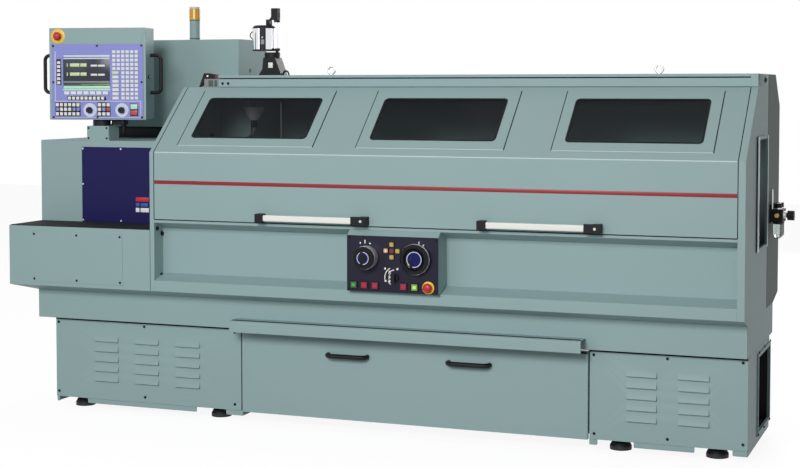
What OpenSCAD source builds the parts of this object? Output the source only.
// CNC flat-bed turning lathe with a full-length lift-up guard, pendant control and chip drawer.
// Millimetres, +Z up, the operator stands on the -Y side, the headstock is at -X.
// The origin is the middle of the footprint, on the floor.

/* [Base] */
// Length of the chip pan
pan_l = 3228; // [3150:1:3400]
// Depth of the chip pan, front to back
pan_d = 730; // [715:1:780]
// Height of the chip pan walls
pan_h = 128; // [110:1:145]
// Thickness of the pan, guard and cover sheets
sheet_t = 3; // [2:0.5:4]
// Height of a levelling pad
foot_h = 30; // [25:1:40]
// Diameter of a levelling pad
foot_d = 90; // [80:1:100]
// Height of the pedestals above the pads
ped_h = 392; // [375:1:430]
// Depth of the pedestals, front to back
ped_d = 606; // [590:1:620]
// Plate thickness of the pedestals
plate_t = 8; // [6:1:12]
// How far the pedestal covers stand back from the pan front
cover_set = 30; // [20:1:45]
// How far the pan runs past the left pedestal
pan_over = 73; // [50:1:90]
// Width of the left pedestal
left_ped_w = 957; // [900:1:1000]
// Width of the drawer bay between the pedestals
bay_w = 1563; // [1500:1:1600]
// Height of the skirt under the pedestals
skirt_h = 23; // [15:1:30]

/* [Louvres] */
// Width of one louvre
louvre_w = 122; // [100:1:140]
// Height of one louvre
louvre_h = 28; // [22:1:32]
// How far a louvre stands out of its cover
louvre_out = 10; // [7:1:14]
// Spacing of the louvre rows
louvre_pitch = 45.6; // [40:0.1:48]
// Spacing of the louvre columns
louvre_column = 208; // [180:1:220]

/* [Chip drawer] */
// Height of the drawer front
drawer_h = 361; // [340:1:362]
// Clear gap round the drawer front
drawer_gap = 3; // [2:0.5:5]
// Depth of the drawer tray
tray_d = 500; // [450:1:540]
// Length of a drawer handle
pull_l = 200; // [160:1:240]
// Thickness of a drawer handle bar
pull_d = 20; // [16:1:26]
// Depth of the drip rail over the drawer
rail_d = 80; // [60:1:90]

/* [Guard] */
// How far the guard stands in front of the pan
front_over = 89; // [70:1:110]
// Depth of the guard, front to back
guard_d = 977; // [940:1:1040]
// Height of the folded edge under the guard
chamfer_h = 30; // [20:1:40]
// Height of the lower lip of the apron
lip_h = 48; // [40:1:60]
// Depth of the recess in the apron
recess_d = 78; // [60:1:90]
// Height from the pan top to the lower edge of the door
apron_h = 350; // [340:1:380]
// Height of the upright part of the door
door_v = 294; // [270:1:320]
// Rise of the sloping part of the door
slope_rise = 285; // [260:1:300]
// Run of the sloping part of the door
slope_run = 317; // [290:1:330]
// Height of the roof above the door hinge
roof_rise = 54; // [44:1:64]
// Width of the left end frame
frame_w = 21; // [16:1:28]
// Width of the right end frame
post_w = 29; // [22:1:36]
// Gap round the door
door_gap = 2; // [1:0.5:4]
// Depth of the folded rim of the door
door_rim = 24; // [18:1:30]
// Width of a window frame
window_w = 648; // [600:1:680]
// Height of a window frame along the slope
window_h = 357; // [330:1:370]
// Spacing of the windows
window_pitch = 846; // [800:1:880]
// Width of the pane border at the sides
border_w = 48; // [36:1:60]
// Width of the pane border above and below
border_h = 50; // [40:1:60]
// Corner radius of a pane
pane_r = 18; // [10:1:30]
// Length of a door handle with its brackets
grip_l = 508; // [460:1:560]
// Height of a door handle bar
grip_h = 27; // [22:1:32]
// Distance between the two door handles
grip_pitch = 992; // [900:1:1040]

/* [Headstock end] */
// Length of the headstock end, from the left face to the guard
head_l = 734; // [700:1:760]
// How far the end box runs past the pan
end_over = 95; // [80:1:120]
// Height of the end box above the pan
end_box_h = 300; // [280:1:320]
// Height of the headstock cover above the end box
head_h = 382; // [360:1:400]
// How far the headstock cover stands behind the guard front
head_set = 262; // [240:1:290]
// Width of the coloured headstock panel
panel_w = 507; // [450:1:540]
// Height of the coloured headstock panel
panel_h = 349; // [320:1:355]
// Thickness of the rubber mat
mat_t = 3; // [2:0.5:5]

/* [Cabinet and signal light] */
// Width of the electrical cabinet
cabinet_w = 739; // [690:1:760]
// Height of the electrical cabinet
cabinet_h = 419; // [380:1:460]
// Depth of the electrical cabinet with its door
cabinet_d = 306; // [280:1:315]
// Height of the plinth under the cabinet
plinth_h = 57; // [40:1:70]
// Thickness of the cabinet door
cabinet_door_t = 20; // [16:1:26]
// Diameter of the signal light
signal_d = 50; // [40:1:60]
// Height of the signal light body
signal_h = 102; // [80:1:120]
// Height of the signal light lens
lens_h = 64; // [50:1:80]

/* [Operator panel] */
// Width of the operator box
op_w = 403; // [390:1:420]
// Height of the operator box
op_h = 255; // [245:1:265]
// How far the operator box stands out of the guard front
op_out = 30; // [20:1:40]
// Diameter of the left handwheel
wheel_left_d = 96; // [84:1:104]
// Diameter of the right handwheel
wheel_right_d = 126; // [110:1:134]
// How far the left handwheel stands out of the panel
wheel_out = 60; // [50:1:70]
// Side of a push button
button_w = 26; // [22:1:30]
// Running clearance of buttons, knobs and dials
fit = 0.3; // [0.2:0.05:0.5]
// Travel of a push button
button_travel = 3; // [2:0.5:4]
// Travel of an emergency stop
stop_travel = 5; // [3:0.5:6]
// Diameter of an emergency stop head
stop_d = 38; // [32:1:42]

/* [Pendant] */
// Width of the pendant box
pendant_w = 465; // [445:1:490]
// Height of the pendant box
pendant_h = 425; // [418:1:450]
// Depth of the pendant box
pendant_d = 122; // [105:1:140]
// Turn of the pendant towards the operator, in degrees
pendant_turn = 12; // [0:1:20]
// Height of the swivel mount
mount_h = 68; // [60:1:80]
// Height of the swivel flange
flange_h = 29; // [22:1:36]
// Side of one key on the pendant
key_w = 14; // [11:0.5:15]
// Diameter of a pendant dial
dial_d = 28; // [22:1:32]

/* [Turning gear] */
// Height of the bed
bed_h = 360; // [340:1:380]
// Width of the bed over its ways
bed_w = 350; // [330:1:370]
// Height of the spindle above the ways
centre_h = 240; // [225:1:255]
// Diameter of the spindle
spindle_d = 110; // [90:1:130]
// Bore through the spindle
spindle_bore = 56; // [45:1:65]
// Running clearance of spindle and quill
running = 0.05; // [0.03:0.01:0.1]
// Diameter of the chuck
chuck_d = 250; // [220:1:270]
// Length of the chuck body
chuck_l = 105; // [90:1:120]
// Diameter of the tailstock quill
quill_d = 80; // [70:1:90]
// Side of the tool turret
turret_w = 200; // [180:1:210]
// Clearance between a slide and its way
slide_fit = 0.3; // [0.2:0.05:0.5]

/* [Work lamp] */
// Height of the lamp bracket
lamp_base_h = 88; // [76:1:100]
// Diameter of the lamp head
lamp_head_d = 106; // [90:1:116]
// Length of the lamp head
lamp_head_l = 118; // [100:1:124]
// Length of the lamp arm between its joints
lamp_arm_l = 196; // [190:1:215]
// Spacing of the two arm rods
rod_gap = 14; // [12:1:18]

/* [Air unit] */
// How far the air unit stands out of the end panel
air_out = 92; // [84:1:110]
// Diameter of the regulator knob
air_knob_d = 42; // [36:1:48]
// Diameter of a filter bowl
bowl_d = 38; // [32:1:42]
// Length of a filter bowl
bowl_l = 70; // [60:1:85]

/* [Hidden] */
$fn = 48;
small = 32;

// Colours of the finishes
grey = [0.55, 0.63, 0.65];
dark = [0.10, 0.10, 0.11];
navy = [0.11, 0.11, 0.33];
lavender = [0.55, 0.55, 0.80];
steel = [0.72, 0.73, 0.75];
iron = [0.42, 0.45, 0.47];
cream = [0.93, 0.93, 0.91];

// Places along X
total_l = end_over + pan_l + air_out;
x_left = -total_l / 2;
pan_x0 = x_left + end_over;
pan_x1 = pan_x0 + pan_l;
lped_x0 = pan_x0 + pan_over;
lped_x1 = lped_x0 + left_ped_w;
rped_x0 = lped_x1 + bay_w;
guard_x0 = x_left + head_l;
inner_x0 = guard_x0 + frame_w;
inner_x1 = pan_x1 - post_w;
door_x0 = inner_x0 + door_gap;
door_x1 = inner_x1 - door_gap;
door_cx = (door_x0 + door_x1) / 2;
drawer_cx = (lped_x1 + rped_x0) / 2;
roof_step = 159;
roof_x0 = inner_x0 + roof_step;

// Places along Y, counted back from the front face of the guard
spindle_back = 490;
notch_back = 640;
y_front = -(wheel_out + op_out + guard_d) / 2 + wheel_out + op_out;
pan_y0 = y_front + front_over;
pan_y1 = pan_y0 + pan_d;
cover_y = pan_y0 + cover_set;
ped_y0 = cover_y + sheet_t;
ped_y1 = ped_y0 + ped_d;
head_y = y_front + head_set;
hinge_y = y_front + slope_run;
guard_y1 = y_front + guard_d;
spindle_y = y_front + spindle_back;
notch_y = y_front + notch_back;
cabinet_y1 = guard_y1 - 22;
cabinet_y0 = cabinet_y1 - cabinet_d;

// Places along Z
ped_z0 = foot_h + skirt_h;
pan_z0 = foot_h + ped_h;
pan_z1 = pan_z0 + pan_h;
lip_z0 = pan_z1 + chamfer_h;
lip_z1 = lip_z0 + lip_h;
door_z0 = pan_z1 + apron_h;
bend_z = door_z0 + door_v;
hinge_z = bend_z + slope_rise;
roof_z = hinge_z + roof_rise;
end_z = pan_z1 + end_box_h;
head_z = end_z + head_h;
cabinet_z0 = head_z + plinth_h;
cabinet_z1 = cabinet_z0 + cabinet_h;
bed_z0 = pan_z0 + sheet_t;
way_z = bed_z0 + bed_h;
spindle_z = way_z + centre_h;
slope_a = atan2(slope_rise, slope_run);
slope_l = norm([slope_rise, slope_run]);

// Rounded roof of the guard at the back
back_run = 140;
back_drop = 132;
lower_run = guard_d - front_over - pan_d;

// Helpers: unit normal to the left of a segment, mitred corner, folded sheet and inset outline
function left_of(a, b) = let (d = b - a) [-d[1], d[0]] / norm(d);
function mitre(a, b, c, t) = let (m = left_of(a, b), n = left_of(b, c)) b + t * (m + n) / (1 + m * n);
function folded(p, t) = concat(p, [for (i = [len(p) - 1:-1:0])
  i == 0 ? p[0] + t * left_of(p[0], p[1])
  : i == len(p) - 1 ? p[i] + t * left_of(p[i - 1], p[i])
  : mitre(p[i - 1], p[i], p[i + 1], t)]);
function inset(p, t) = let (n = len(p)) [for (i = [0:n - 1]) mitre(p[(i + n - 1) % n], p[i],
  p[(i + 1) % n], t)];

module box(x0, x1, y0, y1, z0, z1) {
  translate([x0, y0, z0]) cube([x1 - x0, y1 - y0, z1 - z0]);
}

// Draws a Y-Z outline out along X
module along_x(x0, x1) {
  translate([x0, 0, 0]) rotate([90, 0, 90]) linear_extrude(x1 - x0) children();
}

// Draws an X-Z outline back along Y
module along_y(y0, y1) {
  translate([0, y1, 0]) rotate([90, 0, 0]) linear_extrude(y1 - y0) children();
}

module rounded(w, h, r) {
  square([w - 2 * r, h], center = true);
  square([w, h - 2 * r], center = true);
  for (x = [-1, 1], y = [-1, 1]) translate([x * (w / 2 - r), y * (h / 2 - r)]) circle(r);
}

module x_rod(d, x0, x1, y, z) {
  translate([x0, y, z]) rotate([0, 90, 0]) cylinder(d = d, h = x1 - x0);
}

module y_rod(d, y0, y1, x, z) {
  translate([x, y0, z]) rotate([-90, 0, 0]) cylinder(d = d, h = y1 - y0);
}

// Levelling feet: pad, collar and stud
stud_d = 24;
collar_d = 46;
foot_inset = 102;
foot_y0 = ped_y0 + foot_inset;
foot_y1 = ped_y1 - foot_inset;
foot_x = [lped_x0 + 89, lped_x1 - 158, rped_x0 + 108, pan_x1 - 134];

module levelling_feet() {
  color(dark) for (x = foot_x, y = [foot_y0, foot_y1]) translate([x, y, 0]) {
    rotate_extrude() polygon([[0, 0], [foot_d / 2, 0], [foot_d / 2, foot_h * 0.5], [foot_d / 2 - 8,
      foot_h],
      [0, foot_h]]);
    cylinder(d = collar_d, h = ped_z0);
    cylinder(d = stud_d, h = ped_z0 + plate_t + 24);
  }
}

// Pedestals: welded boxes with an open front, a notched skirt and a runner for the drawer
flange = 45;
notch_w = 150;
runner_w = 26;
runner_t = 6;
runner_z = ped_z0 + 26;
side_y0 = ped_y0 + 256;
side_y1 = ped_y1 - 13;
side_z0 = ped_z0 + 22;
side_z1 = pan_z0 - 39;

module pedestal_box(x0, x1) {
  difference() {
    box(x0, x1, ped_y0, ped_y1, ped_z0, pan_z0);
    box(x0 + plate_t, x1 - plate_t, ped_y0 + plate_t, ped_y1 - plate_t, ped_z0 + plate_t,
      pan_z0 - plate_t);
    box(x0 + flange, x1 - flange, ped_y0 - 1, ped_y0 + plate_t + 1, ped_z0 + flange, pan_z0 - flange);
    for (x = foot_x, y = [foot_y0, foot_y1]) translate([x, y, 0]) cylinder(d = stud_d + 1,
      h = ped_z0 + 60);
  }
  difference() {
    box(x0, x1, ped_y0, ped_y1, foot_h, ped_z0);
    box(x0 + plate_t, x1 - plate_t, ped_y0 + plate_t, ped_y1 - plate_t, foot_h - 1, ped_z0);
    for (x = foot_x) box(x - notch_w / 2, x + notch_w / 2, ped_y0 - 1, ped_y1 + 1, foot_h - 1, ped_z0);
  }
}

module pedestals() {
  color(grey) {
    pedestal_box(lped_x0, lped_x1);
    difference() {
      pedestal_box(rped_x0, pan_x1);
      box(pan_x1 - plate_t - 1, pan_x1 + 1, side_y0, side_y1, side_z0, side_z1);
    }
    box(lped_x1 - 1, lped_x1 + runner_w, ped_y0 + 10, ped_y1 - 10, runner_z - runner_t, runner_z);
    box(rped_x0 - runner_w, rped_x0 + 1, ped_y0 + 10, ped_y1 - 10, runner_z - runner_t, runner_z);
  }
}

// Bolted covers: two louvred covers, the end box plate and the raised frames on the right end
cover_gap = 2;
louvre_rows = 5;
louvre_z0 = ped_z0 + 85;
rim_w = 14;
slot_y0 = y_front + 330;
slot_y1 = y_front + 570;
slot_z0 = pan_z1 + 279;
slot_z1 = slot_z0 + 438;
plate_x0 = x_left + 122;
plate_x1 = plate_x0 + 472;
plate_z0 = lip_z0 + 18;
plate_z1 = end_z - 24;

module louvred_cover(x0, x1, columns) {
  mid = (x0 + x1) / 2;
  lx = [for (c = [0:columns - 1]) mid + (c - (columns - 1) / 2) * louvre_column];
  lz = [for (r = [0:louvre_rows - 1]) louvre_z0 + r * louvre_pitch];
  difference() {
    union() {
      box(x0, x1, cover_y, cover_y + sheet_t, ped_z0, pan_z0 - cover_gap);
      for (x = lx, z = lz) translate([0, cover_y, z]) along_x(x - louvre_w / 2, x + louvre_w / 2)
        polygon([[0, 0], [-louvre_out, 0], [-louvre_out, 3], [0, louvre_h]]);
    }
    for (x = lx, z = lz) translate([0, cover_y, z]) {
      along_x(x - louvre_w / 2 + 2, x + louvre_w / 2 - 2)
        polygon([[4, -1], [-louvre_out + 2, -1], [-louvre_out + 2, 2], [4, louvre_h - 6]]);
    }
  }
}

module rim_frame(x, y0, y1, z0, z1) {
  difference() {
    box(x, x + 6, y0 - rim_w, y1 + rim_w, z0 - rim_w, z1 + rim_w);
    box(x - 1, x + 7, y0, y1, z0, z1);
  }
}

module bolted_covers() {
  color(grey) {
    louvred_cover(lped_x0, lped_x1 - cover_gap, 3);
    louvred_cover(rped_x0 + cover_gap, pan_x1, 2);
    box(plate_x0, plate_x1, y_front - 2, y_front, plate_z0, plate_z1);
    rim_frame(pan_x1, slot_y0, slot_y1, slot_z0, slot_z1);
    difference() {
      rim_frame(pan_x1, side_y0, side_y1, side_z0, side_z1);
      box(pan_x1 - 1, pan_x1 + 9, ped_y1, ped_y1 + 60, side_z0 - 60, side_z1 + 60);
    }
  }
}

// Chip pan with the drip rail folded over the drawer
drip_z0 = pan_z0 - 5;
drip_h = 51;
drip_x0 = lped_x1 - 8;
drip_x1 = rped_x0 - 9;

module chip_pan() {
  drip = [[pan_y0 + 1, drip_z0 + drip_h], [pan_y0 - rail_d + 8, drip_z0 + drip_h],
    [pan_y0 - rail_d, drip_z0 + drip_h - 8], [pan_y0 - rail_d, drip_z0], [pan_y0 - rail_d + 18, drip_z0]];
  color(grey) {
    difference() {
      box(pan_x0, pan_x1, pan_y0, pan_y1, pan_z0, pan_z1);
      box(pan_x0 + sheet_t, pan_x1 - sheet_t, pan_y0 + sheet_t, pan_y1 - sheet_t, pan_z0 + sheet_t,
        pan_z1 + 1);
    }
    along_x(drip_x0, drip_x1) polygon(folded(drip, sheet_t));
  }
}

// Bed: two webs on a foot flange, tied by ribs, with a V way in front and a flat way behind
bed_x0 = pan_x0 + 55;
bed_x1 = pan_x1 - 60;
way_w = 90;
vee = 15;
web_t = 45;
rib_t = 30;
rib_pitch = 320;
front_way = spindle_y - bed_w / 2;
rear_way = spindle_y + bed_w / 2;
seat_x1 = guard_x0 + frame_w + 12;

module lathe_bed() {
  ribs = floor((bed_x1 - bed_x0 - rib_t) / rib_pitch);
  color(iron) {
    along_x(bed_x0, bed_x1) {
      translate([front_way - 15, bed_z0]) square([bed_w + 30, 30]);
      translate([front_way + (way_w - web_t) / 2, bed_z0]) square([web_t, bed_h - 50]);
      translate([rear_way - (way_w + web_t) / 2, bed_z0]) square([web_t, bed_h - 50]);
      translate([front_way, way_z - 55]) square([way_w, 55 - vee]);
      translate([rear_way - way_w, way_z - 55]) square([way_w, 55]);
      translate([front_way + way_w / 2, way_z]) polygon([[-vee, -vee - 1], [vee, -vee - 1], [vee,
        -vee], [0, 0], [-vee, -vee]]);
    }
    box(bed_x0, seat_x1, front_way, front_way + way_w, way_z - vee - 1, way_z);
    for (i = [0:ribs]) box(bed_x0 + i * rib_pitch, bed_x0 + i * rib_pitch + rib_t,
      front_way + way_w / 2, rear_way - way_w / 2, bed_z0, way_z - 90);
  }
}

// Headstock casting, bored for the spindle
head_x0 = x_left + 130;
head_x1 = guard_x0 - 12;
nose_d = 190;
nose_x1 = guard_x0 + frame_w + 6;
head_crown = 140;

module headstock() {
  top_z = spindle_z + head_crown;
  color(iron) difference() {
    union() {
      along_x(head_x0, head_x1) polygon([[front_way, way_z], [rear_way, way_z], [rear_way,
        spindle_z + 60],
        [rear_way - 80, top_z], [front_way + 80, top_z], [front_way, spindle_z + 60]]);
      x_rod(nose_d, head_x1 - 1, nose_x1, spindle_y, spindle_z);
    }
    x_rod(spindle_d + 2 * running, head_x0 - 1, nose_x1 + 1, spindle_y, spindle_z);
  }
}

// Sheet cover of the headstock, stepped round the back corner of the guard, with a hole for long bars
step_x1 = roof_x0 - sheet_t - 1;
step_y = notch_y + sheet_t + 1;
bar_hole_d = spindle_bore + 24;

module headstock_cover() {
  t = sheet_t;
  color(grey) difference() {
    union() {
      box(x_left + 1, guard_x0, head_y, guard_y1, end_z, head_z);
      box(guard_x0 - 1, step_x1, step_y, guard_y1, end_z, head_z);
    }
    box(x_left + 1 + t, guard_x0 + 1, head_y + t, guard_y1 - t, end_z - 1, head_z - t);
    box(guard_x0 - 2, step_x1 - t, step_y + t, guard_y1 - t, end_z - 1, head_z - t);
    x_rod(bar_hole_d, x_left, x_left + t + 2, spindle_y, spindle_z);
  }
}

// Coloured panel on the front of the headstock cover
panel_x1 = guard_x0 - 2;
panel_t = 3;

module gear_panel() {
  z0 = end_z + mat_t;
  color(navy) box(panel_x1 - panel_w, panel_x1, head_y - panel_t, head_y, z0, z0 + panel_h);
}

// Room for the bed where it runs through the sheet walls
module bed_slot() {
  box(guard_x0 - 1, roof_x0 + 1, front_way - 20, rear_way + 20, pan_z1 - 1, way_z + 4);
}

// End box: folded edges below, at the front, back and left, stepped like the headstock cover
module end_box_outline(t) {
  intersection() {
    along_x(x_left + t, step_x1 - t) polygon(inset([[pan_y0, pan_z1], [guard_y1 - lower_run, pan_z1],
      [guard_y1, lip_z0], [guard_y1, end_z], [y_front, end_z], [y_front, lip_z0]], t));
    along_y(y_front, guard_y1) polygon([[pan_x0 + t, pan_z1], [step_x1, pan_z1], [step_x1, end_z],
      [x_left + t, end_z], [x_left + t, lip_z0 + t]]);
    union() {
      box(x_left, guard_x0 + t, y_front, guard_y1, pan_z1, end_z);
      box(guard_x0 - 1, step_x1, step_y + t, guard_y1, pan_z1, end_z);
    }
  }
}

module end_box() {
  color(grey) difference() {
    end_box_outline(0);
    end_box_outline(sheet_t);
    box(pan_x0 + sheet_t, guard_x0 + 1, pan_y0 + sheet_t, pan_y1 - sheet_t, pan_z1 - 1,
      pan_z1 + sheet_t + 1);
    box(head_x0 - 10, guard_x0 + 1, front_way - 10, rear_way + 10, end_z - 10, end_z + 1);
    bed_slot();
  }
}

module end_box_mat() {
  color(dark) box(x_left + 4, guard_x0 - 2, y_front + 4, head_y - panel_t - 1, end_z, end_z + mat_t);
}

// Section of the guard: front, slope, roof, sloping back and folded edges below
guard_section = [[pan_y0, pan_z1], [pan_y0 + pan_d, pan_z1], [guard_y1, lip_z0], [guard_y1,
  roof_z - back_drop],
  [guard_y1 - back_run, roof_z], [hinge_y, roof_z], [hinge_y, hinge_z], [y_front, bend_z], [y_front,
    lip_z0]];
left_section = [[pan_y0, pan_z1], [notch_y, pan_z1], [notch_y, hinge_z], [hinge_y, hinge_z],
  [y_front, bend_z], [y_front, lip_z0]];
rim = 40;

// Left end frame with the spindle opening, stepping back to the roof end
module left_end_frame() {
  t = sheet_t;
  step_section = [[notch_y, pan_z1], [pan_y0 + pan_d, pan_z1], [guard_y1 - t, lip_z0],
    [guard_y1 - t, roof_z - back_drop], [guard_y1 - back_run, roof_z - t], [hinge_y + t, roof_z - t],
    [hinge_y + t, hinge_z], [notch_y, hinge_z]];
  color(grey) difference() {
    union() {
      along_x(guard_x0, inner_x0) polygon(left_section);
      along_x(roof_x0 - t, roof_x0) polygon(step_section);
      box(guard_x0, roof_x0, notch_y, notch_y + t, pan_z1, hinge_z);
      box(inner_x0 - 1, roof_x0, hinge_y + t, notch_y, hinge_z - t, hinge_z);
    }
    along_x(guard_x0 + t, inner_x0 - t) polygon(inset(left_section, rim));
    box(guard_x0 - 1, guard_x0 + t + 1, pan_y0 + rim, notch_y - rim, pan_z1 + rim, end_z - rim);
    bed_slot();
    pivot_holes();
    x_rod(2 * pivot_sweep, inner_x0, roof_x0 + 1, pivot_y, pivot_z);
    x_rod(nose_d + 12, guard_x0 - 1, inner_x0 + 1, spindle_y, spindle_z);
  }
}

// Right end frame: dished panel with the open slot and the seam where its two sheets meet
seam_y = y_front + 613;
seam_w = 3;
seam_t = 1.5;

module right_end_frame() {
  color(grey) difference() {
    along_x(inner_x1, pan_x1) polygon(guard_section);
    along_x(inner_x1 - 1, pan_x1 - sheet_t) polygon(inset(guard_section, rim));
    box(inner_x1 - 1, pan_x1 + 1, slot_y0, slot_y1, slot_z0, slot_z1);
    box(pan_x1 - seam_t, pan_x1 + 1, seam_y, seam_y + seam_w, pan_z1 - 1, roof_z + 1);
    pivot_holes();
  }
}

// Front apron: lip, sill, recessed panel and rail, folded from one sheet
sill_h = 27;
slope_under = 29;
rail_h = 14;
recess_y = y_front + recess_d;
recess_z1 = door_z0 - door_gap - rail_h - slope_under;

module front_apron() {
  path = [[pan_y0, pan_z1], [y_front, lip_z0], [y_front, lip_z1], [recess_y, lip_z1 + sill_h],
    [recess_y, recess_z1], [y_front, recess_z1 + slope_under], [y_front, door_z0 - door_gap],
    [y_front + 34, door_z0 - door_gap]];
  color(grey) along_x(inner_x0, inner_x1)
    polygon(folded([for (i = [len(path) - 1:-1:0]) path[i]], sheet_t));
}

// Roof, fascia and back of the guard
fascia_d = 26;
overhang = 6;
eaves_h = 12;

module roof() {
  path = [[hinge_y - overhang, roof_z - eaves_h], [hinge_y - overhang, roof_z], [guard_y1 - back_run,
    roof_z],
    [guard_y1, roof_z - back_drop], [guard_y1, lip_z0], [guard_y1 - lower_run, pan_z1]];
  color(grey) {
    along_x(roof_x0, inner_x1) polygon(folded([for (i = [len(path) - 1:-1:0]) path[i]], sheet_t));
    box(roof_x0, inner_x1, hinge_y, hinge_y + fascia_d, hinge_z + door_gap, roof_z - sheet_t + 1);
    box(inner_x1 - 1, pan_x1, hinge_y - overhang, hinge_y, hinge_z + door_gap, roof_z - 2);
  }
}

// Lifting eyes on the roof
eye_d = 40;
eye_wire = 8;
eye_left = 582;
eye_right = 887;
eye_x = [door_cx - eye_left, door_cx + eye_right];
eye_y = hinge_y + 63;

module lifting_eyes() {
  color(iron) for (x = eye_x) translate([x, eye_y, roof_z]) {
    cylinder(d = 22, h = 5);
    translate([0, 0, eye_d / 2 + 1]) rotate([90, 0,
      0]) rotate_extrude() translate([(eye_d - eye_wire) / 2, 0]) circle(d = eye_wire);
  }
}

// Door interlock on the closing plate beside the fascia
switch_l = 74;

module interlock_switch() {
  x1 = roof_x0 - sheet_t - 1;
  color(iron) {
    box(x1 - switch_l, x1, hinge_y + 6, hinge_y + 40, hinge_z, hinge_z + 38);
    along_y(hinge_y + 10, hinge_y + 36) polygon([[x1 - switch_l - 2, hinge_z + 38], [x1 - 3,
      hinge_z + 38],
      [x1 - 3, hinge_z + 54], [x1 - switch_l + 14, hinge_z + 64], [x1 - switch_l - 2, hinge_z + 56]]);
  }
}

// Electrical cabinet on a set-back plinth, open at the back behind its door
cabinet_x1 = roof_x0 - 68;
cabinet_x0 = cabinet_x1 - cabinet_w;
cabinet_t = 3;
cabinet_rim = 22;
door_seat = 1;
knuckle_d = 10;
pin_x = cabinet_x0 - knuckle_d / 2;
pin_y = cabinet_y1 - 6;
knuckle_zs = [cabinet_z0 + 100, cabinet_z1 - 60];
signal_x = cabinet_x0 + 420;
signal_y = cabinet_y0 + 160;

module cabinet() {
  shell_y1 = cabinet_y1 - cabinet_door_t - door_seat;
  color(grey) {
    difference() {
      box(cabinet_x0, cabinet_x1, cabinet_y0, shell_y1, cabinet_z0, cabinet_z1);
      box(cabinet_x0 + cabinet_t, cabinet_x1 - cabinet_t, cabinet_y0 + cabinet_t, shell_y1 - cabinet_t,
        cabinet_z0 + cabinet_t, cabinet_z1 - cabinet_t);
      box(cabinet_x0 + cabinet_rim, cabinet_x1 - cabinet_rim, shell_y1 - cabinet_t - 1, shell_y1 + 1,
        cabinet_z0 + cabinet_rim, cabinet_z1 - cabinet_rim);
      translate([cabinet_x1, cabinet_y0 + 124, cabinet_z0 + 271]) rotate([0, 90, 0])
        linear_extrude(20, center = true) rounded(22, 16, 7.9);
    }
    difference() {
      box(cabinet_x0 + 30, cabinet_x1 - 30, cabinet_y0 + 30, shell_y1 - 30, head_z, cabinet_z0);
      box(cabinet_x0 + 40, cabinet_x1 - 40, cabinet_y0 + 40, shell_y1 - 40, head_z - 1, cabinet_z0 - 5);
    }
    for (z = knuckle_zs) {
      translate([pin_x, pin_y, z - 40]) cylinder(d = knuckle_d, h = 40);
      box(cabinet_x0 - 3, cabinet_x0, shell_y1 - 30, pin_y, z - 40, z);
    }
  }
}

// Back door of the cabinet with its hinge knuckles and a turning latch
module cabinet_door() {
  y0 = cabinet_y1 - cabinet_door_t;
  color(grey) {
    difference() {
      box(cabinet_x0, cabinet_x1, y0, cabinet_y1, cabinet_z0, cabinet_z1);
      box(cabinet_x0 + sheet_t, cabinet_x1 - sheet_t, y0 - 1, cabinet_y1 - sheet_t,
        cabinet_z0 + sheet_t, cabinet_z1 - sheet_t);
    }
    for (z = knuckle_zs) {
      translate([pin_x, pin_y, z + slide_fit]) cylinder(d = knuckle_d, h = 40);
      box(pin_x, cabinet_x0 + 1, pin_y - 2, pin_y + 2, z + slide_fit, z + slide_fit + 40);
    }
    y_rod(30, cabinet_y1 - 1, cabinet_y1 + 6, cabinet_x1 - 40, (cabinet_z0 + cabinet_z1) / 2);
  }
}

// Signal light on the cabinet, with a foot narrower than its body
signal_foot = 8;
signal_step = 5;

module signal_body() {
  color(iron) translate([signal_x, signal_y, cabinet_z1]) {
    cylinder(d = signal_d - signal_step, h = signal_foot);
    translate([0, 0, signal_foot]) cylinder(d = signal_d, h = signal_h - signal_foot);
  }
}

module signal_lens() {
  r = signal_d / 2;
  color([0.92, 0.60, 0.10]) translate([signal_x, signal_y, cabinet_z1 + signal_h])
    rotate_extrude() polygon([[0, 0], [r, 0], [r, lens_h - 8], [r - 5, lens_h - 1], [r - 12, lens_h],
      [0, lens_h]]);
}

// Operator box in the recess, with its black face
op_cx = door_cx - 135;
op_x0 = op_cx - op_w / 2;
op_x1 = op_cx + op_w / 2;
op_z0 = lip_z1 + 2;
op_z1 = op_z0 + op_h;
op_y0 = y_front - op_out;
op_slope = 22;
face_t = 4;
face_y = op_y0 + face_t;
face_z1 = op_z1 - op_slope;
hole_gap = fit;
shaft_d = 20;
wheel_z = op_z0 + 144;
wheel_dx = 108;
jog_z = op_z0 + 174;
jog_pitch = 26;
select_x = op_cx + 13;
select_z = op_z0 + 62;
row_z = op_z0 + 27;
button_x = [for (d = [-169, -122, -74, 52, 101]) op_cx + d];
stop_x = op_cx + 159;
stem_d = 22;

module operator_box() {
  t = sheet_t;
  section = [[face_y, op_z0], [y_front, op_z0], [recess_y, op_z0 + sill_h], [recess_y, recess_z1 - fit],
    [y_front, recess_z1 + slope_under - fit], [y_front, op_z1], [op_y0, face_z1], [face_y, face_z1]];
  color(grey) difference() {
    along_x(op_x0, op_x1) polygon(section);
    box(op_x0 + t, op_x1 - t, face_y - 1, y_front + 4, op_z0 + t, face_z1 - t);
  }
}

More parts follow.
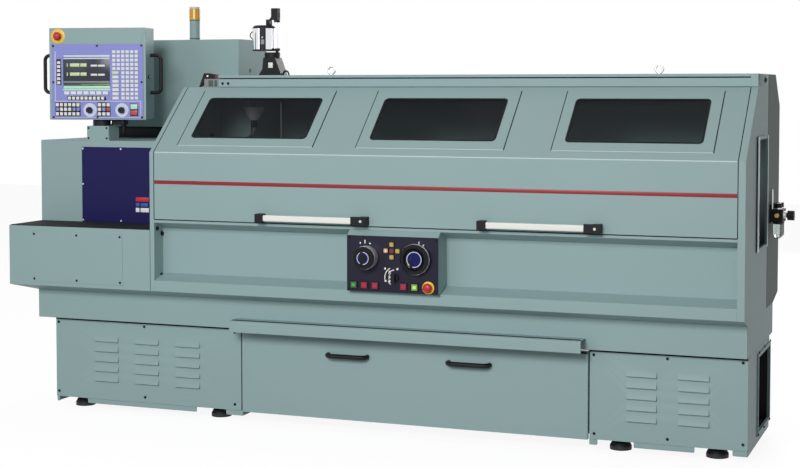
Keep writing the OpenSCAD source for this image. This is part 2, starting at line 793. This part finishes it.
module operator_face() {
  color(dark) {
    difference() {
      union() {
        box(op_x0, op_x1, op_y0, face_y, op_z0, face_z1 - 0.5);
        for (x = button_x) box(x - button_w / 2 - 3, x + button_w / 2 + 3, op_y0 - 4, op_y0,
          row_z - button_w / 2 - 3, row_z + button_w / 2 + 3);
      }
      for (x = button_x) box(x - button_w / 2 - hole_gap, x + button_w / 2 + hole_gap, op_y0 - 5,
        face_y + 1,
        row_z - button_w / 2 - hole_gap, row_z + button_w / 2 + hole_gap);
      y_rod(stem_d + 2 * hole_gap, op_y0 - 1, face_y + 1, stop_x, row_z);
      y_rod(shaft_d + 2 * hole_gap, op_y0 - 1, face_y + 1, select_x, select_z);
      for (s = [-1, 1]) y_rod(shaft_d + 2 * hole_gap, op_y0 - 1, face_y + 1, op_cx + s * wheel_dx,
        wheel_z);
    }
    for (d = [[0, 0], [1, 0], [-1, 0], [0, 1], [0, -1]])
      translate([op_cx + d[0] * jog_pitch, op_y0, jog_z + d[1] * jog_pitch])
        rotate([90, 0, 0]) linear_extrude(6) rounded(20, 20, 4);
  }
}

// Handwheels on short shafts
wheel_gap = 1;
shaft_in = 20;

module wheel_shape(x, outline) {
  translate([x, op_y0, wheel_z]) rotate([90, 0, 0]) {
    rotate_extrude() polygon(outline);
    translate([0, 0, -shaft_in]) cylinder(d = shaft_d, h = shaft_in + wheel_gap + 2);
  }
}

module handwheel_left() {
  r = wheel_left_d / 2;
  h = wheel_out;
  color(dark) wheel_shape(op_cx - wheel_dx, [[0, wheel_gap], [r - 4, wheel_gap], [r, wheel_gap + 4],
    [r, h - 6],
    [r - 6, h], [r - 14, h], [r - 18, h - 4], [14, h - 4], [12, h - 1], [0, h - 1]]);
}

module handwheel_right() {
  r = wheel_right_d / 2;
  h = 36;
  color(dark) wheel_shape(op_cx + wheel_dx, [[0, wheel_gap], [r - 10, wheel_gap], [r, wheel_gap + 12],
    [r, h - 7],
    [r - 7, h], [r - 16, h], [r - 22, h - 9], [34, h - 12], [33, h - 6], [0, h - 6]]);
}

// Selector knob with a pointer rib
module selector() {
  color(dark) translate([select_x, op_y0, select_z]) rotate([90, 0, 0]) {
    translate([0, 0, -shaft_in]) cylinder(d = shaft_d, h = shaft_in + 3);
    translate([0, 0, 1]) cylinder(d = 34, h = 8);
    translate([-6, -16, 8]) cube([12, 32, 16]);
  }
}

// Push buttons slide in square bezels
module push_button(i, tone) {
  x = button_x[i];
  w = button_w / 2;
  color(tone) box(x - w, x + w, op_y0 - 9, face_y + 6, row_z - w, row_z + w);
}

module button_1() { push_button(0, [0.15, 0.55, 0.2]); }
module button_2() { push_button(1, [0.7, 0.05, 0.15]); }
module button_3() { push_button(2, [0.7, 0.05, 0.15]); }
module button_4() { push_button(3, [0.7, 0.05, 0.15]); }
module button_5() { push_button(4, [0.5, 0.75, 0.25]); }

// Emergency stop: mushroom head on a stem, drawn with the panel face at z = 0
stop_gap = stop_travel + 3;

module stop_shape() {
  r = stop_d / 2;
  translate([0, 0, -14]) cylinder(d = stem_d, h = 14 + stop_gap + 1);
  translate([0, 0, stop_gap]) rotate_extrude() polygon([[0, 0], [r - 3, 0], [r, 3], [r, 8], [r - 4,
    14], [r - 10, 17], [0, 18]]);
}

module panel_stop() {
  color([0.75, 0.05, 0.08]) translate([stop_x, op_y0, row_z]) rotate([90, 0, 0]) stop_shape();
}

// Pendant mount on the headstock
swivel_set = 307;
swivel_x = x_left + swivel_set;
swivel_y = head_y + 52;
mount_w = 118;
mount_z1 = head_z + mount_h;
pendant_z0 = mount_z1 + flange_h;
pivot_d = 60;

module pendant_mount() {
  color(grey) {
    translate([swivel_x, swivel_y, head_z]) linear_extrude(mount_h) rounded(mount_w, 96, 5);
    translate([swivel_x, swivel_y, mount_z1 - 1]) cylinder(d = 84, h = 10);
    translate([swivel_x, swivel_y, mount_z1]) cylinder(d = pivot_d, h = flange_h - slide_fit);
  }
}

// Pendant, drawn with its pivot at the origin and its face towards -Y, then turned and put in place
face_set = 70;
pendant_y0 = -face_set;
panel_margin = 12;
panel_lift = 345;
lav_t = 3;
wall = 3;

module on_pendant() {
  translate([swivel_x, swivel_y, pendant_z0]) rotate([0, 0, pendant_turn]) children();
}

module pendant_box() {
  w = pendant_w;
  color(grey) on_pendant() difference() {
    box(-w / 2, w / 2, pendant_y0, pendant_y0 + pendant_d, 0, pendant_h);
    box(-w / 2 + wall, w / 2 - wall, pendant_y0 + wall, pendant_y0 + pendant_d - wall, wall,
      pendant_h - wall);
    y_rod(stem_d + 2 * hole_gap, pendant_y0 - 1, pendant_y0 + wall + 1, pstop_x, pstop_z);
    for (x = dial_x) y_rod(shaft_d + 2 * hole_gap, pendant_y0 - 1, pendant_y0 + wall + 1, x, dial_z);
  }
}

// Face places, counted from the lower left corner of the pendant face
pstop_x = -pendant_w / 2 + 43;
pstop_z = pendant_h - 38;
dial_z = 45;
dial_x = [-36, 118];
screen_x0 = -165;
screen_w = 226;
screen_z0 = 143;
screen_h = 158;
key_gap = 6;
key_pitch = key_w + key_gap;
key_row = key_pitch - 0.6;
soft_row = key_pitch - 1.3;
pad_x0 = 74;
pad_z0 = 94;
pad_rows = 12;
split_rows = 7;
jog_x0 = -pendant_w / 2 + panel_margin + 20;
key_t = 4;
face_front = pendant_y0 - lav_t;

module pendant_face() {
  w = pendant_w - 2 * panel_margin;
  color(lavender) on_pendant() difference() {
    box(-w / 2, w / 2, face_front, pendant_y0, 5, 5 + panel_lift);
    box(screen_x0, screen_x0 + screen_w, face_front - 1, pendant_y0 - 1, screen_z0, screen_z0 + screen_h);
    for (x = dial_x) y_rod(shaft_d + 2 * hole_gap, face_front - 1, pendant_y0 + 1, x, dial_z);
  }
}

module key_grid(x0, z0, columns, rows, w, h) {
  for (c = [0:columns - 1], r = [0:rows - 1])
    box(x0 + c * w, x0 + c * w + w - key_gap, face_front - key_t, face_front, z0 + r * h,
      z0 + r * h + h - key_gap);
}

module pendant_keys() {
  color(cream) on_pendant() {
    key_grid(pad_x0, pad_z0 + split_rows * key_row, 6, pad_rows - split_rows, key_pitch + 1.5, key_row);
    key_grid(pad_x0 + 2 * key_pitch + 3, pad_z0, 4, split_rows, key_pitch + 1.5, key_row);
    key_grid(pad_x0, pad_z0, 1, split_rows, 2 * key_pitch - 4, key_row);
    key_grid(screen_x0 - 28, screen_z0 + 22, 1, 6, key_pitch + 1, soft_row);
    key_grid(screen_x0 + 6, screen_z0 - 26, 7, 1, 1.5 * key_pitch + 1, key_pitch + 1);
    key_grid(screen_x0 + 24, screen_z0 - 50, 9, 1, key_pitch, key_pitch);
    for (r = [0, 2]) key_grid(jog_x0, 20 + r * (key_pitch + 1), 6, 1, key_pitch, key_pitch + 1);
    key_grid(jog_x0 + key_pitch, 20 + key_pitch + 1, 3, 1, key_pitch, key_pitch + 1);
    key_grid(3, 20, 3, 3, key_pitch + 1, key_pitch + 1);
    key_grid(pendant_w / 2 - panel_margin - 60, 22, 1, 2, 2 * key_pitch - 2, key_pitch + 8);
  }
}

// Bow handles on both sides of the pendant
handle_d = 17;
handle_l = 190;
handle_out = 58;
handle_back = 74;
bend = 1.3;
bend_fn = 20;

// A bar bent twice: two legs, two rounded corners and the grip between them
module bow(l, out, d) {
  r = bend * d;
  reach = out - d / 2;
  half = (l - d) / 2;
  for (s = [0, 1]) mirror([0, 0, s]) {
    translate([0, 0, half]) rotate([0, 90, 0]) cylinder(d = d, h = reach - r, $fn = bend_fn);
    translate([reach - r, 0, half - r]) rotate([90, 0, 0]) intersection() {
      rotate_extrude($fn = small) translate([r, 0]) circle(d = d, $fn = bend_fn);
      translate([0, 0, -d]) cube([r + d, r + d, 2 * d]);
    }
  }
  translate([reach, 0, r - half]) cylinder(d = d, h = 2 * (half - r), $fn = bend_fn);
}

module pendant_handles() {
  color(dark) on_pendant() for (s = [0, 1]) mirror([s, 0, 0])
    translate([pendant_w / 2, pendant_y0 + handle_back, pendant_h / 2])
      bow(handle_l, handle_out, handle_d);
}

module dial(i) {
  color(dark) on_pendant() translate([dial_x[i], face_front, dial_z]) rotate([90, 0, 0]) {
    translate([0, 0, -16]) cylinder(d = shaft_d, h = 16 + 5);
    translate([0, 0, 4]) cylinder(d = dial_d, h = 14);
    translate([-2.5, 0, 17]) cube([5, dial_d / 2 - 1, 3]);
  }
}

module dial_left() { dial(0); }
module dial_right() { dial(1); }

module pendant_stop() {
  color([0.75, 0.05, 0.08]) on_pendant() translate([pstop_x, pendant_y0, pstop_z]) rotate([90, 0,
    0]) stop_shape();
}

// Guard door: a folded pan with a rim on all sides, three window openings in the slope and two pivot pins
pivot_in = 12;
door_pin_d = 12;
door_pin_l = 14;
pivot_sweep = pivot_in * sqrt(2) + 1;
pivot_y = hinge_y - pivot_in * (cos(slope_a) - sin(slope_a));
pivot_z = hinge_z - pivot_in * (sin(slope_a) + cos(slope_a));

module pivot_holes() {
  x_rod(door_pin_d + 2 * running, inner_x0 - door_pin_l - 1, inner_x0 + 1, pivot_y, pivot_z);
  x_rod(door_pin_d + 2 * running, inner_x1 - 1, inner_x1 + door_pin_l + 1, pivot_y, pivot_z);
}

pane_w = window_w - 2 * border_w;
pane_h = window_h - 2 * border_h;
lap = 5;
window_x = [for (i = [-1, 0, 1]) door_cx + i * window_pitch];
window_mid = slope_l * 0.5225;

module on_slope() {
  translate([0, y_front, bend_z]) rotate([slope_a, 0, 0]) children();
}

module guard_door() {
  line = [[y_front, door_z0], [y_front, bend_z], [hinge_y, hinge_z]];
  rail = [for (i = [2:-1:0]) line[i]];
  color(grey) {
    difference() {
      along_x(door_x0, door_x1) polygon(folded(rail, door_rim));
      along_x(door_x0 + sheet_t, door_x1 - sheet_t) polygon(door_hollow());
      for (x = window_x) on_slope() translate([x, window_mid, -sheet_t - 1])
        linear_extrude(sheet_t + 2) rounded(pane_w + 2 * lap, pane_h + 2 * lap, pane_r + lap);
    }
    x_rod(door_pin_d, inner_x0 - door_pin_l, door_x0 + 1, pivot_y, pivot_z);
    x_rod(door_pin_d, door_x1 - 1, inner_x1 + door_pin_l, pivot_y, pivot_z);
  }
}

// Hollow of the door pan, one sheet inside its outline and open at the back
function door_hollow() = let (
  s = sheet_t, line = [[hinge_y, hinge_z], [y_front, bend_z], [y_front, door_z0]],
  outer = folded(line, s), inner = folded(line, door_rim + 5),
  along = [slope_run, slope_rise] / slope_l * s)
  [outer[5] - along, outer[4], outer[3] + [0, s], inner[3] + [0, s], inner[4], inner[5] - along];

frame_t = 2;

module window_frames() {
  color(grey) on_slope() for (x = window_x) translate([x, window_mid,
    0]) linear_extrude(frame_t) difference() {
    rounded(window_w, window_h, 3);
    rounded(pane_w, pane_h, pane_r);
  }
}

module window_panes() {
  color([0.2, 0.22, 0.24, 0.5]) on_slope() for (x = window_x) translate([x, window_mid, -sheet_t])
    linear_extrude(sheet_t) rounded(pane_w + 2 * lap - 0.4, pane_h + 2 * lap - 0.4, pane_r + lap - 0.2);
}

// Door handles: a flat bar held off the door by two end brackets
grip_z = door_z0 + 22;
grip_off = 26;
bar_t = 16;
bracket_l = 66;
bracket_s = 38;
bracket_leg = 30;
bar_in = 15;
grip_left = 7;
grip_x = [for (s = [-1, 1]) door_cx + s * grip_pitch / 2 - grip_left];

module grip_bars() {
  x0 = bracket_s - bar_in - grip_l / 2;
  color(cream) for (x = grip_x) translate([x + x0, y_front - grip_off - bar_t / 2, grip_z])
    rotate([0, 90, 0]) linear_extrude(grip_l - bracket_l - bracket_s + 2 * bar_in) rounded(grip_h, bar_t, 6);
}

// The left bracket is shorter than the right one
module grip_brackets() {
  h = grip_h + 9;
  color(dark) for (x = grip_x, s = [0, 1]) translate([x, 0, grip_z]) mirror([s, 0, 0]) {
    l = s == 0 ? bracket_l : bracket_s;
    translate([grip_l / 2 - l, 0, 0]) difference() {
      translate([0, y_front - grip_off - bar_t - 4, -h / 2]) cube([l, grip_off + bar_t + 4, h]);
      translate([-1, y_front - grip_off, -h / 2 - 1]) cube([l - bracket_leg + 1, grip_off + 1, h + 2]);
      translate([-1, y_front - grip_off - bar_t / 2, 0]) rotate([0, 90, 0])
        linear_extrude(bar_in + 1) rounded(grip_h, bar_t, 6);
    }
  }
}

// Chip drawer: folded front, open tray and hanging edges on the runners
drawer_x0 = lped_x1 + drawer_gap;
drawer_x1 = rped_x0 - drawer_gap;
drawer_y = cover_y - 10;
drawer_z0 = ped_z0 - 2;
front_rim = 20;
tray_x0 = lped_x1 + runner_w + 4;
tray_x1 = rped_x0 - runner_w - 4;
tray_z0 = runner_z + slide_fit;
tray_h = 250;

module chip_drawer() {
  t = sheet_t;
  y1 = drawer_y + tray_d;
  color(grey) {
    difference() {
      box(drawer_x0, drawer_x1, drawer_y, drawer_y + front_rim, drawer_z0, drawer_z0 + drawer_h);
      box(drawer_x0 + t, drawer_x1 - t, drawer_y + t, drawer_y + front_rim + 1, drawer_z0 + t,
        drawer_z0 + drawer_h - t);
    }
    difference() {
      box(tray_x0, tray_x1, drawer_y + 1, y1, tray_z0 - 12, tray_z0 + tray_h);
      box(tray_x0 + t, tray_x1 - t, drawer_y + t, y1 - t, tray_z0 - 12 + t, tray_z0 + tray_h + 1);
    }
    for (x = [tray_x0 - runner_w + 4, tray_x1 - 1])
      box(x, x + runner_w - 3, drawer_y + front_rim + 30, y1, tray_z0, tray_z0 + t);
  }
}

// Bow pulls on the drawer front
pull_pitch = 546;
pull_out = 44;
pull_z = drawer_z0 + drawer_h * 0.773;

module drawer_pulls() {
  color(dark) for (s = [-1, 1]) translate([drawer_cx + s * pull_pitch / 2, drawer_y, pull_z])
    rotate([90, 0, -90]) bow(pull_l, pull_out, pull_d);
}

// Spindle with its flange
spindle_x0 = head_x0 - 40;
flange_d = 170;
chuck_x0 = nose_x1 + 22;

module spindle() {
  color(steel) difference() {
    union() {
      x_rod(spindle_d, spindle_x0, nose_x1 + 4, spindle_y, spindle_z);
      x_rod(flange_d, nose_x1 + 1, chuck_x0, spindle_y, spindle_z);
    }
    x_rod(spindle_bore, spindle_x0 - 1, chuck_x0 + 1, spindle_y, spindle_z);
  }
}

// Three-jaw chuck with stepped jaws
jaw_w = 36;

module chuck() {
  color(steel) translate([chuck_x0, spindle_y, spindle_z]) rotate([0, 90, 0]) {
    difference() {
      rotate_extrude() polygon([[0, 0], [chuck_d / 2 - 5, 0], [chuck_d / 2, 5], [chuck_d / 2,
        chuck_l - 8],
        [chuck_d / 2 - 8, chuck_l], [0, chuck_l]]);
      translate([0, 0, -1]) cylinder(d = spindle_bore, h = chuck_l + 2);
      for (a = [0:120:240]) rotate([0, 0, a + 60]) translate([chuck_d / 4, -8,
        chuck_l - 14]) cube([chuck_d / 4 + 1, 16, 16]);
    }
    for (a = [0:120:240]) rotate([0, 0, a]) {
      translate([36, -jaw_w / 2, chuck_l - 1]) cube([chuck_d / 2 - 50, jaw_w, 23]);
      translate([36, -jaw_w / 2, chuck_l + 21]) cube([chuck_d / 4 - 18, jaw_w, 21]);
    }
  }
}

// Carriage: saddle over the ways with an apron hanging in front
saddle_set = 330;
saddle_x0 = inner_x0 + saddle_set;
saddle_l = 380;
saddle_h = 72;
saddle_x1 = saddle_x0 + saddle_l;
cross_w = 190;
saddle_z0 = way_z + slide_fit;
saddle_z1 = saddle_z0 + saddle_h;
dove_h = 34;

module dovetail(g) {
  polygon([[-60 - g, 0], [60 + g, 0], [78 + g, dove_h + g], [-78 - g, dove_h + g]]);
}

module carriage() {
  gap = slide_fit;
  v = front_way + way_w / 2;
  color(iron) {
    along_x(saddle_x0, saddle_x1) polygon([[front_way - 130, way_z - 180], [front_way - 20, way_z - 180],
      [front_way - 20, way_z - vee + gap], [v - vee, way_z - vee + gap], [v, way_z + gap * 1.5],
      [v + vee, way_z - vee + gap], [front_way + way_w + 10, way_z - vee + gap],
        [front_way + way_w + 10, saddle_z0],
      [rear_way + 20, saddle_z0], [rear_way + 20, saddle_z1], [front_way - 130, saddle_z1]]);
    translate([saddle_x0 + saddle_l / 2, 0, saddle_z1 - 0.5]) along_y(front_way - 110,
      rear_way + 10) dovetail(0);
  }
}

// Cross slide with a female dovetail and two slots in its top
slide_h = 62;
slide_y0 = front_way - 60;
slide_l = 330;
slide_z0 = saddle_z1 + slide_fit;
slide_z1 = slide_z0 + slide_h;
turret_y = slide_y0 + 130;

module cross_slide() {
  mid = saddle_x0 + saddle_l / 2;
  color(iron) difference() {
    box(mid - cross_w / 2, mid + cross_w / 2, slide_y0, slide_y0 + slide_l, slide_z0, slide_z1);
    translate([mid, 0, saddle_z1 - 0.5]) along_y(slide_y0 - 1,
      slide_y0 + slide_l + 1) dovetail(slide_fit);
    for (y = [slide_y0 + slide_l - 60, slide_y0 + slide_l - 24])
      box(mid - cross_w / 2 - 1, mid + cross_w / 2 + 1, y, y + 14, slide_z1 - 14, slide_z1 + 1);
  }
}

// Four-way tool turret turning on a round base
turret_gap = 0.3;
turret_h = 96;
turret_z0 = slide_z1 + turret_gap;

module turret() {
  mid = saddle_x0 + saddle_l / 2;
  w = turret_w / 2;
  color(steel) translate([mid, turret_y, turret_z0]) {
    cylinder(d = turret_w - 30, h = 14);
    translate([0, 0, 12]) difference() {
      translate([-w, -w, 0]) cube([2 * w, 2 * w, turret_h]);
      for (a = [0:90:270]) rotate([0, 0, a]) translate([-w - 1, w - 28, 30]) cube([2 * w + 2, 30, 34]);
    }
    cylinder(d = 60, h = turret_h + 34);
  }
}

// Tailstock on the ways, bored for its quill
tail_set = 560;
tail_x0 = inner_x1 - tail_set;
tail_l = 330;
tail_x1 = tail_x0 + tail_l;

module tailstock() {
  gap = slide_fit;
  v = front_way + way_w / 2;
  h = quill_d / 2 + 45;
  color(iron) difference() {
    union() {
      along_x(tail_x0, tail_x1) polygon([[front_way - 10, way_z - vee + gap], [v - vee,
        way_z - vee + gap], [v, way_z + gap * 1.5],
        [v + vee, way_z - vee + gap], [front_way + way_w + 10, way_z - vee + gap],
          [front_way + way_w + 10, saddle_z0],
        [rear_way + 10, saddle_z0], [rear_way + 10, way_z + 50], [spindle_y + h, spindle_z - 40],
        [spindle_y + h, spindle_z], [spindle_y - h, spindle_z], [spindle_y - h, spindle_z - 40],
          [front_way - 10, way_z + 50]]);
      x_rod(2 * h, tail_x0, tail_x1, spindle_y, spindle_z);
    }
    x_rod(quill_d + 2 * running, tail_x0 - 1, tail_x1 + 1, spindle_y, spindle_z);
  }
}

// Quill with its centre
quill_out = 60;

module quill() {
  x0 = tail_x0 - quill_out;
  color(steel) {
    x_rod(quill_d, x0, tail_x1 - 40, spindle_y, spindle_z);
    translate([x0, spindle_y, spindle_z]) rotate([0, -90, 0]) {
      cylinder(d = 44, h = 12);
      translate([0, 0, 12]) cylinder(d1 = 40, d2 = 3, h = 34);
    }
  }
}

// Work lamp: bracket on the roof, twin-rod arm, upper arm and round head
lamp_x = roof_x0 + 148;
lamp_y = hinge_y + 252;
knuckle_z = roof_z + lamp_base_h;
elbow_z = knuckle_z + 14 + lamp_arm_l;
arm_d = 9;
pin_d = 8;
knuckle_h = 20;
knuckle_w = 72;
arm_set = 24;
cheek = 24;
link_t = 9;
link_l = 62;
link_a = 41;
elbow_x = lamp_x + arm_set;
tilt_x = elbow_x - link_l * sin(link_a);
tilt_z = elbow_z - link_l * cos(link_a);
ear_h = 18;

module lamp_base() {
  color(dark) {
    along_y(lamp_y - 36, lamp_y + 36) polygon([[lamp_x - 56, roof_z], [lamp_x + 62, roof_z],
      [lamp_x + 30, knuckle_z - 4], [lamp_x - 30, knuckle_z - 4], [lamp_x - 36, roof_z + 30]]);
    translate([lamp_x, lamp_y, knuckle_z - 5]) cylinder(d = knuckle_w, h = 5);
  }
}

module lamp_arm() {
  color(dark) translate([lamp_x, lamp_y, knuckle_z + slide_fit]) {
    cylinder(d = knuckle_w, h = knuckle_h);
    for (s = [-1, 1]) translate([arm_set, s * rod_gap / 2, 8]) cylinder(d = arm_d, h = lamp_arm_l - 20);
    difference() {
      translate([arm_set - cheek, -rod_gap, lamp_arm_l - 26]) cube([cheek + 10, 2 * rod_gap, 54]);
      translate([arm_set - cheek / 2, -link_t / 2 - 0.5, lamp_arm_l - 16]) cube([cheek, link_t + 1, 60]);
      translate([arm_set - cheek - 1, -link_t / 2 - 0.5, lamp_arm_l - 27]) cube([cheek / 2 + 2,
        link_t + 1, 60]);
      translate([arm_set, -rod_gap - 1, elbow_z - knuckle_z - slide_fit]) rotate([-90, 0, 0])
        cylinder(d = pin_d + 2 * running, h = 2 * rod_gap + 2);
    }
  }
}

module lamp_upper() {
  color(dark) translate([elbow_x, lamp_y, elbow_z]) {
    along_y(-link_t / 2, link_t / 2) {
      circle(d = 20);
      rotate(-link_a) translate([-5, -link_l]) square([10, link_l]);
      translate([-link_l * sin(link_a), -link_l * cos(link_a)]) circle(d = 18);
    }
    y_rod(pin_d, -rod_gap, rod_gap, 0, 0);
    y_rod(pin_d, -15, 15, tilt_x - elbow_x, tilt_z - elbow_z);
  }
}

module lamp_head() {
  r = lamp_head_d / 2;
  top = tilt_z - ear_h;
  color(steel) {
    translate([tilt_x - 26, lamp_y, top - lamp_head_l])
      rotate_extrude() polygon([[r - 3, 0], [r, 0], [r, lamp_head_l - 10], [r - 8, lamp_head_l - 2],
        [r - 18, lamp_head_l], [0, lamp_head_l], [0, lamp_head_l - 4], [r - 19, lamp_head_l - 4],
        [r - 10, lamp_head_l - 6], [r - 3, lamp_head_l - 13]]);
    for (s = [-1, 1]) difference() {
      translate([tilt_x - 9, lamp_y + s * 9.5 - 4, top - 3]) cube([18, 8, ear_h + 12]);
      y_rod(pin_d + 2 * running, lamp_y - 20, lamp_y + 20, tilt_x, tilt_z);
    }
  }
}

// Air service unit on the right end panel
air_back = 745;
air_y = y_front + air_back;
air_z = pan_z1 + 383;
air_body_w = 46;
air_block = 54;
air_neck_d = 20;
air_stem_d = 10;
air_knob_l = 28;
air_neck_x1 = pan_x1 + air_out - air_knob_l - 1;

module air_unit() {
  color(dark) {
    box(pan_x1, pan_x1 + 8, air_y - 70, air_y + 60, air_z - 26, air_z + 50);
    for (s = [-1, 1]) translate([pan_x1 + 8, air_y + s * 30, air_z]) {
      translate([-1, -24, -24]) cube([air_body_w + 1, 48, air_block]);
      translate([air_body_w / 2, 0, air_block - 25]) cylinder(d = 34, h = 26);
    }
    difference() {
      x_rod(air_neck_d, pan_x1 + 8 + air_body_w - 1, air_neck_x1, air_y + 30, air_z);
      x_rod(air_stem_d + 2 * hole_gap, pan_x1 + 8 + air_body_w, air_neck_x1 + 1, air_y + 30, air_z);
    }
  }
}

// Regulator knob turning on its stem
module air_knob() {
  x1 = pan_x1 + air_out;
  color(dark) {
    x_rod(air_stem_d, pan_x1 + 8 + air_body_w + 1, x1 - air_knob_l + 1, air_y + 30, air_z);
    x_rod(air_knob_d, x1 - air_knob_l, x1, air_y + 30, air_z);
  }
}

module air_bowls() {
  color([0.8, 0.82, 0.8, 0.6]) for (s = [-1, 1]) translate([pan_x1 + 8 + air_body_w / 2,
    air_y + s * 30, air_z - 24])
    rotate([180, 0, 0]) rotate_extrude() polygon([[0, 0], [bowl_d / 2, 0], [bowl_d / 2, bowl_l - 12],
      [bowl_d / 2 - 10, bowl_l], [0, bowl_l]]);
}

levelling_feet();
pedestals();
bolted_covers();
chip_pan();
lathe_bed();
headstock();
headstock_cover();
gear_panel();
end_box();
end_box_mat();
left_end_frame();
right_end_frame();
front_apron();
roof();
lifting_eyes();
interlock_switch();
cabinet();
signal_body();
signal_lens();
operator_box();
operator_face();
pendant_mount();
lamp_base();
air_unit();
air_bowls();
air_knob();
guard_door();
window_frames();
window_panes();
grip_bars();
grip_brackets();
chip_drawer();
drawer_pulls();
pendant_box();
pendant_face();
pendant_keys();
pendant_handles();
dial_left();
dial_right();
pendant_stop();
handwheel_left();
handwheel_right();
selector();
button_1();
button_2();
button_3();
button_4();
button_5();
panel_stop();
lamp_arm();
lamp_upper();
lamp_head();
spindle();
chuck();
carriage();
cross_slide();
turret();
tailstock();
quill();
cabinet_door();
